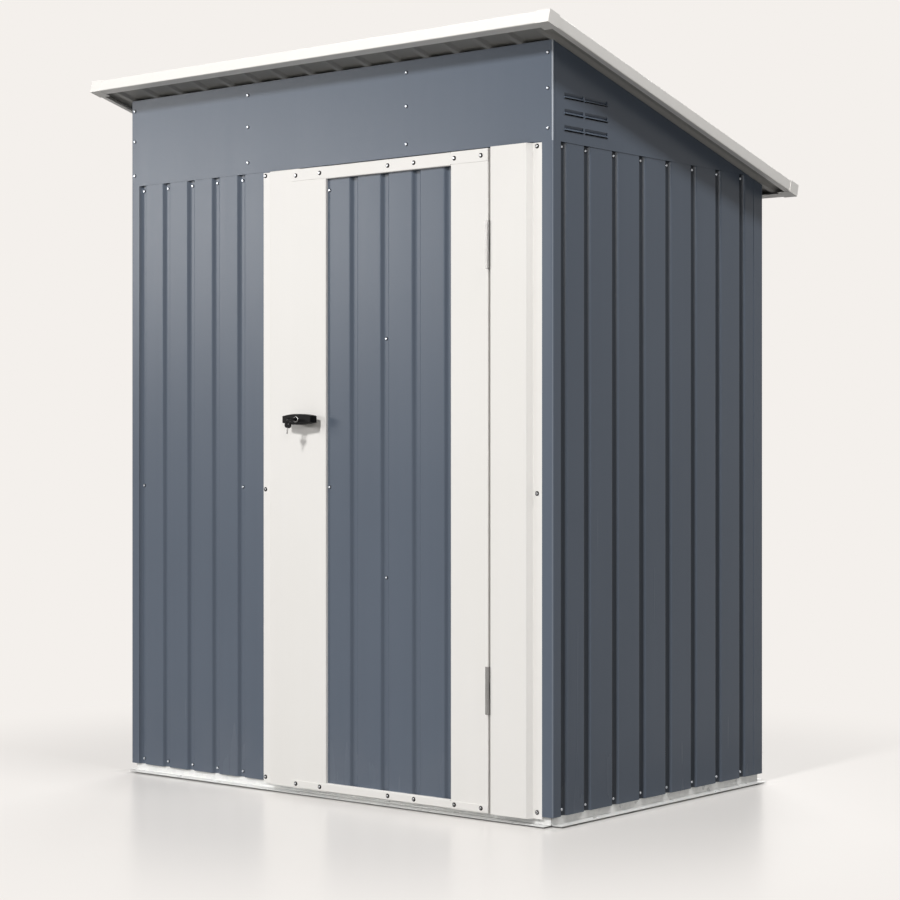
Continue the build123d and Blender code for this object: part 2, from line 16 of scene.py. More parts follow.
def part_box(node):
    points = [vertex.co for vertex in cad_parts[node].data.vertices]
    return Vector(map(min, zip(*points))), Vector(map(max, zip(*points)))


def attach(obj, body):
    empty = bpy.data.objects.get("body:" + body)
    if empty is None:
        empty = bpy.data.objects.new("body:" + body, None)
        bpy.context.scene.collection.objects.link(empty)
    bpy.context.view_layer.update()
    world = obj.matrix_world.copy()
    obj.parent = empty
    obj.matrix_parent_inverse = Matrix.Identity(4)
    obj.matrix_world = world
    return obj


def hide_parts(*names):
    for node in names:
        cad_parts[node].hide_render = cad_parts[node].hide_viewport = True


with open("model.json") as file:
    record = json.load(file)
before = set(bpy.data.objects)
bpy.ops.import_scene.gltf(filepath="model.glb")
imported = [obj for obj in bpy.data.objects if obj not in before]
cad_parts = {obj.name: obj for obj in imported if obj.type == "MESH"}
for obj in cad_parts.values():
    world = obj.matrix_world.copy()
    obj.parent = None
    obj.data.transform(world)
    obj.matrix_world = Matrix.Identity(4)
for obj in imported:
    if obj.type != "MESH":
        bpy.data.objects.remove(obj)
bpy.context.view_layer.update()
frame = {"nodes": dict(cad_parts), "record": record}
mm = 0.001
nodes = frame["nodes"]
record = frame["record"]
scene = bpy.context.scene

# %% [markdown]
# ## The camera
# The photograph was taken from the door side and a little to the right, with the lens level and at about
# the height of the lock. Three sets of parallel edges gave its place and lens. A level camera keeps the
# upright edges upright, which is why the walls don't lean in the picture.

# %% Camera
lens_mm = 87.73
sensor_mm = 36.0
level = radians(90)
heading = radians(39.474)

camera_data = bpy.data.cameras.new("camera")
camera_data.lens = lens_mm
camera_data.sensor_width = sensor_mm
camera = bpy.data.objects.new("camera", camera_data)
camera.location = (3.7287, -4.4868, 0.8655)
camera.rotation_euler = (level, 0, heading)
scene.collection.objects.link(camera)
scene.camera = camera
scene.view_settings.view_transform = "Standard"
print("camera at", tuple(round(v, 3) for v in camera.location), "lens", lens_mm)

# %% [markdown]
# ## Shader maths as plain expressions
# A finish is a small network of nodes. Wiring it by hand is long to write and hard to read, so one class
# wraps a socket and lets Python's own operators add the Math nodes. Every other node comes from one method,
# which sets the node's settings first and then its sockets.


# %% Sockets and networks
class Value:
    """One output socket of a network, which can be used in arithmetic."""

    def __init__(self, network, socket):
        self.network = network
        self.socket = socket

    def maths(self, operation, left, right):
        return self.network.node("ShaderNodeMath", {"operation": operation}, {0: left, 1: right})

    def __add__(self, other):
        return self.maths("ADD", self, other)

    def __radd__(self, other):
        return self.maths("ADD", other, self)

    def __sub__(self, other):
        return self.maths("SUBTRACT", self, other)

    def __rsub__(self, other):
        return self.maths("SUBTRACT", other, self)

    def __mul__(self, other):
        return self.maths("MULTIPLY", self, other)

    def __rmul__(self, other):
        return self.maths("MULTIPLY", other, self)


class Network:
    """A tree of shader nodes, built node by node."""

    def __init__(self, tree):
        self.tree = tree
        tree.nodes.clear()

    def put(self, socket, value):
        """Link a value to an input socket, or set the socket where it is a plain number or colour."""
        if isinstance(value, Value):
            self.tree.links.new(value.socket, socket)
        elif isinstance(value, tuple) and len(value) == 3 and socket.type == "RGBA":
            socket.default_value = (*value, 1.0)
        else:
            socket.default_value = value

    def node(self, kind, settings, sockets, output=0):
        """Add one node: its settings first, then its sockets. The result is one of its outputs."""
        made = self.tree.nodes.new(kind)
        for name, setting in settings.items():
            setattr(made, name, setting)
        for name, value in sockets.items():
            self.put(made.inputs[name], value)
        return Value(self, made.outputs[output])

    def ray(self, kind):
        """1 on light paths of one kind, such as Is Camera Ray, and 0 on the others."""
        return self.node("ShaderNodeLightPath", {}, {}, output=kind)

    def shown(self):
        """1 where the eye looks, straight or by way of metal or glass."""
        return self.ray("Is Camera Ray") + self.ray("Is Glossy Ray") + self.ray("Is Transmission Ray")


print("socket maths ready")

# %% [markdown]
# ## A finish
# A finish is a material with one Principled shader, which can be paint, metal or plastic. Its helpers give
# the patterns that the paints and metals below have in common: noise, smooth steps, mixes of two colours
# and a bump. Colours are written as they look on a screen.


# %% Finishes
class Finish(Network):
    """A material with one Principled shader."""

    def __init__(self, name, **constants):
        self.material = bpy.data.materials.new(name)
        self.material.use_nodes = True
        super().__init__(self.material.node_tree)
        self.output = self.tree.nodes.new("ShaderNodeOutputMaterial")
        self.shader = self.tree.nodes.new("ShaderNodeBsdfPrincipled")
        self.tree.links.new(self.shader.outputs[0], self.output.inputs["Surface"])
        self.feed(**constants)

    def feed(self, **sockets):
        """Set or link the Principled shader's own sockets, named with underscores for spaces."""
        for name, value in sockets.items():
            self.put(self.shader.inputs[name.replace("_", " ")], value)

    def place(self):
        """Object coordinates, in metres."""
        return self.node("ShaderNodeTexCoord", {}, {}, output="Object")

    def stretched(self, scale):
        """Object coordinates with each axis scaled, which draws a pattern out along the smaller ones."""
        return self.node("ShaderNodeMapping", {}, {"Vector": self.place(), "Scale": scale})

    def axis(self, where, name):
        """One coordinate of a place."""
        return self.node("ShaderNodeSeparateXYZ", {}, {0: where}, output=name)

    def attribute(self, name):
        """A value kept on the piece's mesh. It is 0 on pieces that don't have it."""
        return self.node("ShaderNodeAttribute", {"attribute_name": name}, {}, output="Fac")

    def noise(self, where, scale, detail):
        return self.node("ShaderNodeTexNoise", {}, {"Vector": where, "Scale": scale, "Detail": detail})

    def between(self, low, high, value):
        """A smooth step of a value from low to high, clamped to 0 and 1."""
        settings = {"interpolation_type": "SMOOTHSTEP"}
        sockets = {"Value": value, "From Min": low, "From Max": high}
        return self.node("ShaderNodeMapRange", settings, sockets)

    def mixed(self, share, first, second):
        """A colour between two others."""
        settings = {"data_type": "RGBA"}
        return self.node("ShaderNodeMix", settings, {0: share, 6: first, 7: second}, output=2)

    def bump(self, height, distance):
        return self.node("ShaderNodeBump", {}, {"Height": height, "Distance": distance, "Strength": 1.0})


def colour(red, green, blue):
    """A colour given as screen values from 0 to 255, in the linear values that shaders use."""
    def linear(screen):
        share = screen / 255
        return share / 12.92 if share <= 0.04045 else ((share + 0.055) / 1.055) ** 2.4
    return (linear(red), linear(green), linear(blue))


print("finish helpers ready")

# %% [markdown]
# ## Painted sheet
# The walls, trims and roof are thin steel with a baked coat. Such a coat is satin: it has a fine orange
# peel, a slow drift of tone where the roller laid it on unevenly, and a little dust towards the ground. A
# clear flat colour would look like plastic, so each of these is a mild layer, worked out from Object
# coordinates. Two attributes on the sheets paint in light and shade that the soft lamps leave out: a
# painted shade darkens the deep grooves of the side and back walls, and a painted highlight puts a pale
# line on the upright folds of the header and the front corners. Both are painted into the colour, so they
# stay the same under other lamps.

# %% Paint
# painted shade: the deep grooves of the side and back walls are darkened towards this tone
groove_shade_tone = colour(40, 44, 50)
groove_shade_start = 0.35
groove_shade_full = 0.7
groove_shade_share = 0.8
# painted highlight: the upright folds are lightened towards this tone
fold_highlight_tone = colour(214, 220, 227)
dust_tone = colour(196, 190, 180)
dust_low = 0.02
dust_high = 0.26
dust_share = 0.03
dust_gloss = 0.02
patch_low = 0.25
patch_high = 0.8
roller_stretch = (38.0, 38.0, 1.1)
roller_share = 0.3
roller_gloss = 0.05
tone_low = 0.25
tone_high = 0.75
noise_middle = 0.5
coarse_share = 1.6


def painted_sheet(name, paint, shade, gloss, roughness, peel):
    """Satin paint on sheet: two near tones, orange peel, dust low down, painted groove shade and fold
    highlight.
    """
    finish = Finish(name, Metallic=0.0, Specular_IOR_Level=gloss)
    place = finish.place()
    drift = finish.noise(place, scale=2.3, detail=3.0)
    rolled = finish.noise(finish.stretched(roller_stretch), scale=1.0, detail=2.0)
    laid = drift * (1 - roller_share) + rolled * roller_share
    tone = finish.between(tone_low, tone_high, laid)
    # painted shade: the colour darkens where the groove attribute is deep
    deep = finish.between(groove_shade_start, groove_shade_full, finish.attribute("groove"))
    groove_shaded = finish.mixed(groove_shade_share * deep, finish.mixed(tone, shade, paint), groove_shade_tone)
    # painted highlight: the colour turns pale where the fold attribute is set
    folded = finish.mixed(finish.attribute("fold"), groove_shaded, fold_highlight_tone)
    low = 1 - finish.between(dust_low, dust_high, finish.axis(place, "Z"))
    dust = low * finish.between(patch_low, patch_high, finish.noise(place, scale=7.0, detail=1.0))
    finish.feed(Base_Color=finish.mixed(dust * dust_share, folded, dust_tone))
    finish.feed(Roughness=roughness + (rolled - noise_middle) * roller_gloss + dust * dust_gloss)
    fine_grain = finish.noise(place, scale=900.0, detail=1.0)
    coarse_grain = finish.noise(place, scale=260.0, detail=2.0)
    finish.feed(Normal=finish.bump(fine_grain + coarse_grain * coarse_share, distance=peel))
    return finish.material


wall_paint = painted_sheet(
    "wall_paint", colour(94, 103, 116), colour(91, 100, 113), gloss=0.15, roughness=0.26, peel=0.06 * mm,
)
trim_paint = painted_sheet(
    "trim_paint", colour(238, 236, 233), colour(236, 234, 230), gloss=0.25, roughness=0.44, peel=0.05 * mm,
)
roof_paint = painted_sheet(
    "roof_paint", colour(168, 167, 164), colour(161, 160, 157), gloss=0.2, roughness=0.5, peel=0.08 * mm,
)
print("painted:", wall_paint.name, trim_paint.name, roof_paint.name)

# %% [markdown]
# ## Zinc, plating and black moulding
# The base rails and inner channels are zinc coated: the coat freezes in crystals a few millimetres across,
# which show as patches of slightly different grey. Voronoi cells give such crystals. Hinges and screws are
# plated steel with fine scratches, and the handle is black moulded plastic with a fine leathery skin.


# %% Metals and moulding
wobble_reach = 12 * mm
crystal_share = 0.6
crystal_gloss = 0.14
scratch_stretch = (900.0, 900.0, 90.0)
scratch_gloss = 0.16
black_roughness = 0.42
black_gloss = 0.2


def zinc_coat(name, light, dark, metallic, roughness):
    """A frozen zinc coat: crystal patches of two greys, each with its own gloss."""
    finish = Finish(name, Metallic=metallic)
    place = finish.place()
    wobble = finish.node("ShaderNodeVectorMath", {"operation": "MULTIPLY_ADD"}, {
        0: finish.node("ShaderNodeTexNoise", {}, {"Vector": place, "Scale": 60.0}, output="Color"),
        1: (wobble_reach, wobble_reach, wobble_reach),
        2: place,
    })
    crystal = finish.node("ShaderNodeTexVoronoi", {}, {"Vector": wobble, "Scale": 85.0}, output="Color")
    patch = finish.axis(crystal, "X")
    cloud = finish.noise(place, scale=6.0, detail=3.0)
    blend = patch * crystal_share + cloud * (1 - crystal_share)
    finish.feed(Base_Color=finish.mixed(blend, dark, light))
    finish.feed(Roughness=roughness + (patch - noise_middle) * crystal_gloss)
    grain = finish.noise(place, scale=420.0, detail=2.0)
    finish.feed(Normal=finish.bump(grain, distance=0.05 * mm))
    return finish.material


def plated_steel(name, light, dark, roughness):
    """Plated steel with fine scratches."""
    finish = Finish(name, Metallic=1.0)
    scratches = finish.noise(finish.stretched(scratch_stretch), scale=1.0, detail=2.0)
    cloud = finish.noise(finish.place(), scale=90.0, detail=3.0)
    finish.feed(Base_Color=finish.mixed(cloud, dark, light))
    finish.feed(Roughness=roughness + (scratches - noise_middle) * scratch_gloss)
    finish.feed(Normal=finish.bump(scratches, distance=0.03 * mm))
    return finish.material


def black_moulding(name):
    """Black moulded plastic with a fine grained skin, and a gloss that drifts a little over it."""
    finish = Finish(name, Specular_IOR_Level=0.12)
    place = finish.place()
    skin = finish.node("ShaderNodeTexVoronoi", {}, {"Vector": place, "Scale": 1100.0}, output="Distance")
    cloud = finish.noise(place, scale=70.0, detail=3.0)
    finish.feed(Base_Color=finish.mixed(cloud, colour(9, 9, 10), colour(17, 17, 18)))
    finish.feed(Roughness=black_roughness + cloud * black_gloss)
    finish.feed(Normal=finish.bump(skin, distance=0.08 * mm))
    return finish.material


base_coat = zinc_coat(
    "base_coat", colour(236, 236, 234), colour(218, 219, 218), metallic=0.15, roughness=0.34,
)
rail_zinc = zinc_coat(
    "rail_zinc", colour(196, 199, 202), colour(166, 170, 175), metallic=0.85, roughness=0.42,
)
hinge_steel = plated_steel("hinge_steel", colour(150, 149, 148), colour(128, 127, 126), roughness=0.34)
lock_bright = plated_steel("lock_bright", colour(172, 172, 172), colour(146, 146, 146), roughness=0.24)
screw_steel = plated_steel("screw_steel", colour(176, 177, 179), colour(150, 151, 153), roughness=0.2)
screw_zinc = plated_steel("screw_zinc", colour(212, 216, 222), colour(186, 190, 197), roughness=0.28)
lock_black = black_moulding("lock_black")
print("metals and moulding:", base_coat.name, rail_zinc.name, hinge_steel.name, lock_black.name)

# %% [markdown]
# ## Dress the solids
# The record names a finish for each solid, as a slot. Each solid gets the material of its slot here, and
# the pieces made below use the same list.

# %% Dress the solids
finishes = {
    "wall_paint": wall_paint, "trim_paint": trim_paint, "roof_paint": roof_paint, "base_coat": base_coat,
    "rail_zinc": rail_zinc, "hinge_steel": hinge_steel, "lock_black": lock_black, "lock_bright": lock_bright,
}
for subpart in record["subparts"]:
    mesh = nodes[subpart["node"]].data
    mesh.materials.clear()
    mesh.materials.append(finishes[subpart["material_slot"]])
print("finishes on", len(record["subparts"]), "nodes")

# %% [markdown]
# ## Pressed ribs with round bends
# Steel sheet can't be folded to a sharp edge, and the small radius along each rib catches a thin line of
# light. The solids leave those folds sharp to stay light, so each ribbed sheet gets a copy here: its loose
# triangles are merged, the flat ones are joined again, and only the rib folds, which turn by about 53
# degrees, are bevelled. Smooth shading would bend the light over the wide flats too, so normals are
# weighted by face area, which keeps the flats flat.

# %% Sheets and pieces
rib_turn_low = radians(40)
rib_turn_high = radians(66)
rib_radius = 2.2 * mm
rib_segments = 3
rib_depth = 8 * mm
merge_distance = 0.01 * mm
flat_limit = radians(0.5)
smooth_limit = radians(32)
outwards = {
    "front": Vector((0, -1, 0)), "back": Vector((0, 1, 0)),
    "right": Vector((1, 0, 0)), "left": Vector((-1, 0, 0)),
}
# the sheets whose grooves get painted shade
groove_shade_sides = {"right_wall": "right", "left_wall": "left", "back_panel": "back"}
ribbed_starts = ("front_left_panel", "left_wall", "right_wall", "back_panel", "door_panel", "roof_sheet")
ribbed_nodes = [node for node in sorted(nodes) if node.startswith(ribbed_starts)]
node_slots = {subpart["node"]: subpart["material_slot"] for subpart in record["subparts"]}
node_bodies = {node: body for body, group in record["behaviour"]["bodies"].items() for node in group}


def sheet_copy(node):
    """A bmesh copy of a solid, with its triangles merged and its flat faces whole."""
    shape = bmesh.new()
    shape.from_mesh(nodes[node].data)
    bmesh.ops.remove_doubles(shape, verts=shape.verts, dist=merge_distance)
    bmesh.ops.dissolve_limit(shape, angle_limit=flat_limit, verts=shape.verts, edges=shape.edges)
    return shape


def make_piece(name, shape, body, material):
    """Turn a bmesh into a piece that rides on a body, smooth but for its real edges."""
    mesh = bpy.data.meshes.new(name)
    shape.to_mesh(mesh)
    shape.free()
    mesh.materials.append(material)
    mesh.shade_smooth()
    mesh.set_sharp_from_angle(angle=smooth_limit)
    piece = bpy.data.objects.new(name, mesh)
    scene.collection.objects.link(piece)
    weighted = piece.modifiers.new("weighted_normals", "WEIGHTED_NORMAL")
    weighted.keep_sharp = True
    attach(piece, body)
    return piece


print("ribbed sheets:", len(ribbed_nodes))

# %% [markdown]
# ## Round the folds
# Each copy also keeps an attribute for the paint: on the side and back walls it holds how deep each point
# lies, and the paint turns it into painted shade in the grooves. A vertex attribute follows the bevelled
# folds, so the painted shade changes along the flank of a rib and not in a step.


# %% Round the ribs
def mark_groove_shade(shape, node):
    """Painted groove shade: how deep each outer point on a shaded side lies, 0 on ribs to 1 in grooves."""
    layer = shape.verts.layers.float.new("groove")
    shape.normal_update()
    for start, side in groove_shade_sides.items():
        if node.startswith(start):
            outward = outwards[side]
            crest = max(vert.co.dot(outward) for vert in shape.verts)
            for vert in shape.verts:
                if vert.normal.dot(outward) > 0:
                    vert[layer] = (crest - vert.co.dot(outward)) / rib_depth


for node in ribbed_nodes:
    shape = sheet_copy(node)
    folds = [
        edge for edge in shape.edges
        if edge.is_manifold and rib_turn_low < edge.calc_face_angle() < rib_turn_high
    ]
    bmesh.ops.bevel(
        shape, geom=folds, offset=rib_radius, offset_type="OFFSET", segments=rib_segments, profile=0.5,
        affect="EDGES", material=-1, clamp_overlap=True,
    )
    mark_groove_shade(shape, node)
    slot = node_slots[node]
    piece = make_piece(node + "_pressed", shape, node_bodies[node], finishes[slot])
    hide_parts(node)
    print(piece.name, "folds", len(folds), "faces", len(piece.data.polygons))

# %% [markdown]
# ## Smooth round pieces
# The handle, hinge barrels and other round solids come as flat facets. A merged copy with smooth shading
# looks turned or moulded, while its real edges stay crisp, because edges over about 32 degrees are marked
# sharp. The header and the front corners are folded sheets, and the faces of their upright folds get the
# paint's attribute, which paints a pale highlight along them.

# %% Smooth copies
round_nodes = [
    "lock_handle", "lock_cylinder", "door_key", "hinge_jamb_leaves", "hinge_door_leaves",
    "corner_front_right", "corner_front_left", "corner_rear_right", "corner_rear_left",
    "front_header", "left_jamb", "right_jamb",
    "door_left_stile", "door_right_stile", "door_top_rail", "door_bottom_rail", "fascia_front", "fascia_back",
    "verge_left", "verge_right",
]
# share of the painted highlight on each sheet's upright folds
fold_highlight_share = {"front_header": 0.6, "corner_front_right": 0.12, "corner_front_left": 0.12}
fold_lean = 0.4


def mark_fold_highlights(shape, share):
    """Store the share of a painted highlight on upright folds, facing neither straight ahead nor aside."""
    layer = shape.faces.layers.float.new("fold")
    leaning = [face for face in shape.faces if min(abs(face.normal.x), abs(face.normal.y)) > fold_lean]
    for face in leaning:
        face[layer] = share
    return len(leaning)


for node in round_nodes:
    slot = node_slots[node]
    shape = sheet_copy(node)
    if node in fold_highlight_share:
        print(node, "fold faces:", mark_fold_highlights(shape, fold_highlight_share[node]))
    piece = make_piece(node + "_smooth", shape, node_bodies[node], finishes[slot])
    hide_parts(node)
print("smooth copies:", len(round_nodes))

# %% [markdown]
# ## One screw
# The sheets are held by small pan-head screws on dark sealing washers. One of each is modelled: its profile
# is spun round, and a cross recess is sunk into the flat on top of the head, by filling between the rim and
# a cross outline.

# %% Turned pieces
washer_radius = 5.6 * mm
washer_height = 1.2 * mm
washer_lip = 0.9
washer_bore = 0.5
head_radius = 3.4 * mm
head_height = 2.4 * mm
head_top = washer_height + head_height
head_wall = 0.35
shoulder_height = 0.7
shoulder_reach = 0.88
flat_radius = 2.0 * mm
recess_reach = 1.6 * mm
recess_half = 0.5 * mm
recess_depth = 0.9 * mm
turned_steps = 14


def turned(profile, closed):
    """A profile of radius and height points, spun round Z."""
    shape = bmesh.new()
    line = [shape.verts.new((radius, 0, height)) for radius, height in profile]
    pairs = zip(line, line[1:] + line[:1]) if closed else zip(line, line[1:])
    edges = [shape.edges.new(pair) for pair in pairs]
    bmesh.ops.spin(
        shape, geom=line + edges, cent=(0, 0, 0), axis=(0, 0, 1), angle=2 * pi, steps=turned_steps,
        use_merge=True,
    )
    bmesh.ops.remove_doubles(shape, verts=shape.verts, dist=merge_distance)
    return shape


def kept_mesh(name, shape):
    """A mesh that later pieces are copied from, with its faces pointing outwards."""
    bmesh.ops.recalc_face_normals(shape, faces=shape.faces)
    mesh = bpy.data.meshes.new(name)
    shape.to_mesh(mesh)
    shape.free()
    return mesh


print("a turned piece has", turned_steps, "sides")

# %% [markdown]
# ## A cross recess
# The driver's cross is what tells a screw from a rivet. It could be cut with a boolean, but filling the
# flat between the rim and the cross leaves cleaner faces, and the cross is then pushed down as a whole.


# %% One screw
def sink_cross(shape, top):
    """Close the flat top of a screw head, but for a cross recess."""
    rim = [
        edge for edge in shape.edges
        if all(abs(vert.co.z - top) < merge_distance for vert in edge.verts)
    ]
    corners = []
    for quarter in range(4):
        turn = Matrix.Rotation(quarter * pi / 2, 3, "Z")
        for x, y in ((recess_reach, -recess_half), (recess_reach, recess_half), (recess_half, recess_half)):
            corners.append(shape.verts.new(turn @ Vector((x, y, top))))
    cross = [shape.edges.new((a, b)) for a, b in zip(corners, corners[1:] + corners[:1])]
    bmesh.ops.triangle_fill(shape, use_beauty=True, edges=rim + cross)
    sunk = bmesh.ops.extrude_edge_only(shape, edges=cross)["geom"]
    floor_verts = [part for part in sunk if isinstance(part, bmesh.types.BMVert)]
    bmesh.ops.translate(shape, verts=floor_verts, vec=(0, 0, -recess_depth))
    floor_edges = [
        part for part in sunk
        if isinstance(part, bmesh.types.BMEdge) and all(vert in floor_verts for vert in part.verts)
    ]
    bmesh.ops.contextual_create(shape, geom=floor_edges)


head_shape = turned([
    (0, washer_height), (head_radius, washer_height),
    (head_radius, washer_height + head_height * head_wall),
    (head_radius * shoulder_reach, washer_height + head_height * shoulder_height), (flat_radius, head_top),
], closed=False)
sink_cross(head_shape, head_top)
one_head = kept_mesh("one_head", head_shape)
one_washer = kept_mesh("one_washer", turned([
    (head_radius * washer_bore, 0), (washer_radius, 0), (washer_radius, washer_height / 2),
    (washer_radius * washer_lip, washer_height), (head_radius * washer_bore, washer_height),
], closed=True))
print("one screw:", len(one_head.polygons), "faces, one washer:", len(one_washer.polygons))

# %% [markdown]
# ## Where the wall screws go
# Each screw place is a point on a surface and the way that surface faces. Most places follow the sheets:
# the middles of the grooves are read from the solids, and the rows are near the top and the bottom of the
# sheets, at the height of the inner rails. The header has four columns, and each jamb is screwed through
# its flange. The unseen sides follow the same rule.

# %% Wall screw places
header_columns = (-0.697, -0.269, 0.269, 0.697)
header_lifts = (0.029, 0.121, 0.203)
jamb_rows = (0.029, 0.765, 1.567)
flange_inset = 14 * mm
foot_row = 0.034
middle_row = 0.770
top_row = 1.563
side_row = 1.571
header_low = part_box("front_header")[0]
front_y = header_low.y


def groove_middles(node, across, side):
    """The middles of a sheet's grooves along one axis, and the level of their floors along the other."""
    low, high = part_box(node)
    depth_axis = 1 - across
    floor_level = low[depth_axis] + rib_depth if side == "low" else high[depth_axis] - rib_depth
    edges = sorted({
        round(vert.co[across], 4) for vert in nodes[node].data.vertices
        if abs(vert.co[depth_axis] - floor_level) < merge_distance
    })
    return [(a + b) / 2 for a, b in zip(edges[::2], edges[1::2])], floor_level


wall_places = [
    (Vector((x, front_y, header_low.z + lift)), "front") for x in header_columns for lift in header_lifts
]

front_grooves, front_floor = groove_middles("front_left_panel", 0, "low")
for k, x in enumerate(front_grooves):
    at_edge = k in (0, len(front_grooves) - 1)
    for z in (foot_row, middle_row, top_row) if at_edge else (foot_row, top_row):
        wall_places.append((Vector((x, front_floor, z)), "front"))

for node, side, end in (("right_wall_panel", "right", "high"), ("left_wall_panel", "left", "low")):
    grooves, side_floor = groove_middles(node, 1, end)
    sheet_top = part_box(node)[1].z
    for y in grooves:
        for z in (foot_row, min(side_row, sheet_top - foot_row)):
            wall_places.append((Vector((side_floor, y, z)), side))

for node in ("back_panel_1", "back_panel_2", "back_panel_3"):
    grooves, back_floor = groove_middles(node, 0, "high")
    sheet_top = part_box(node)[1].z
    for x in grooves:
        for z in (foot_row, middle_row, sheet_top - foot_row):
            wall_places.append((Vector((x, back_floor, z)), "back"))

jamb_columns = (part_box("right_jamb")[1].x - flange_inset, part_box("left_jamb")[0].x + flange_inset / 2)
jamb_places = [(Vector((x, front_y, z)), "front") for z in jamb_rows for x in jamb_columns]
print("wall screws:", len(wall_places), "jamb screws:", len(jamb_places))

# %% [markdown]
# ## Where the door screws go
# The door's top and bottom rail are screwed to the stiles at their ends and to the panel between them. Two
# more screws hold the panel to the braces in its middle groove, and two hold it beside the left stile.

# %% Door screw places
rail_columns = (-0.082, 0.0, 0.225, 0.308, 0.434, 0.515)
rail_rows = (0.0255, 1.5565)
brace_rows = (0.554, 1.137)
lip_rows = (0.773, 1.512)
lip_inset = 6 * mm
middle_groove = 2

rail_face_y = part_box("door_top_rail")[0].y
rail_places = [(Vector((x, rail_face_y, z)), "front") for x in rail_columns for z in rail_rows]
door_grooves, door_floor = groove_middles("door_panel", 0, "low")
door_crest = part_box("door_panel")[0].y
lip_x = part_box("door_left_stile")[1].x + lip_inset
panel_places = [(Vector((door_grooves[middle_groove], door_floor, z)), "front") for z in brace_rows]
panel_places += [(Vector((lip_x, door_crest, z)), "front") for z in lip_rows]
print("rail screws:", len(rail_places), "panel screws:", len(panel_places))

# %% [markdown]
# ## Put in the screws
# All the screws of a group are one mesh of copies, because that many separate pieces would be slow to
# handle. On dark sheet the screws are bright and their washers small. On the white trim the heads are
# darker and the washers whole.

# %% Screws
screw_turn = 2.4
whole_size = 1.0
small_size = 0.75


def place_all(name, kept, size, places, body, material):
    """One joined mesh of copies, each turned to its surface and a little about its own axis."""
    shape = bmesh.new()
    widen = Matrix.Diagonal((size, size, 1, 1))
    for number, (point, side) in enumerate(places):
        before = len(shape.verts)
        shape.from_mesh(kept)
        shape.verts.ensure_lookup_table()
        turn = outwards[side].to_track_quat("Z", "Y").to_matrix().to_4x4()
        spin = Matrix.Rotation(number * screw_turn, 4, "Z")
        placed = Matrix.Translation(point) @ turn @ spin @ widen
        bmesh.ops.transform(shape, matrix=placed, verts=shape.verts[before:])
    return make_piece(name, shape, body, material)


for body, label, places, head_finish, washer_size in (
    ("shell", "wall", wall_places, screw_zinc, small_size),
    ("shell", "jamb", jamb_places, screw_steel, whole_size),
    ("door", "panel", panel_places, screw_zinc, small_size),
    ("door", "door_rail", rail_places, screw_steel, whole_size),
):
    place_all(label + "_screws", one_head, whole_size, places, body, head_finish)
    place_all(label + "_washers", one_washer, washer_size, places, body, lock_black)
    print(label, "screws:", len(places))

# %% [markdown]
# ## Key ring
# A key stays in the lock, and its twin hangs from it on a small wire ring. The ring is a circle spun round,
# and it hangs from the first key, leaning a little.

# %% Key ring
key_low, key_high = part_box("door_key")
lock_x = (key_low.x + key_high.x) / 2
lock_z = (key_low.z + key_high.z) / 2
ring_radius = 6.5 * mm
wire_radius = 0.8 * mm
wire_sides = 10
ring_steps = 36
ring_lean = radians(14)
ring_hook = Vector((lock_x, key_low.y, key_high.z + wire_radius))

ring = bmesh.new()
bmesh.ops.create_circle(
    ring, cap_ends=False, radius=wire_radius, segments=wire_sides,
    matrix=Matrix.Translation((0, ring_radius, 0)) @ Matrix.Rotation(pi / 2, 4, "Y"),
)
bmesh.ops.spin(
    ring, geom=ring.verts[:] + ring.edges[:], cent=(0, 0, 0), axis=(1, 0, 0), angle=2 * pi, steps=ring_steps,
    use_merge=True,
)
bmesh.ops.remove_doubles(ring, verts=ring.verts, dist=merge_distance)
bmesh.ops.recalc_face_normals(ring, faces=ring.faces)
ring_drop = Matrix.Translation((0, 0, -ring_radius))
ring_place = Matrix.Translation(ring_hook) @ Matrix.Rotation(ring_lean, 4, "Y") @ ring_drop
bmesh.ops.transform(ring, matrix=ring_place, verts=ring.verts)
make_piece("key_ring", ring, "handle", lock_bright)
print("key ring hangs at", [round(v, 4) for v in ring_hook])

# %% [markdown]
# ## Spare key
# The spare key has a black bow and a plated blade. The bow is a flat plate with round corners and a hole
# for the ring: its outline is filled round the hole, and one helper gives it its thickness and rounds its
# rims.

# %% Key bow
bow_width = 21 * mm
bow_height = 15 * mm
bow_corner = 6 * mm
bow_hole = 2.4 * mm
bow_hole_inset = 4.5 * mm
bow_thick = 3.6 * mm
bow_rim = 0.8 * mm
corner_segments = 6
hole_sides = 16
key_tilt = radians(9)
rim_turn = radians(80)
rim_segments = 2
ring_foot = ring_place @ Vector((0, 0, wire_radius - ring_radius))
key_drop = Matrix.Translation((0, 0, -bow_hole))
upright = Matrix.Rotation(pi / 2, 4, "X")
key_place = Matrix.Translation(ring_foot) @ Matrix.Rotation(key_tilt, 4, "Y") @ key_drop @ upright


def thick_plate(shape, thickness, edge_radius):
    """Give a flat shape in XY its thickness, equally to both sides, and round its rims."""
    bmesh.ops.translate(shape, verts=shape.verts, vec=(0, 0, -thickness / 2))
    grown = bmesh.ops.extrude_face_region(shape, geom=shape.faces[:])["geom"]
    lifted = [part for part in grown if isinstance(part, bmesh.types.BMVert)]
    bmesh.ops.translate(shape, verts=lifted, vec=(0, 0, thickness))
    bmesh.ops.recalc_face_normals(shape, faces=shape.faces)
    rims = [edge for edge in shape.edges if edge.is_manifold and edge.calc_face_angle() > rim_turn]
    bmesh.ops.bevel(
        shape, geom=rims, offset=edge_radius, offset_type="OFFSET", segments=rim_segments, profile=0.5,
        affect="EDGES", material=-1, clamp_overlap=True,
    )


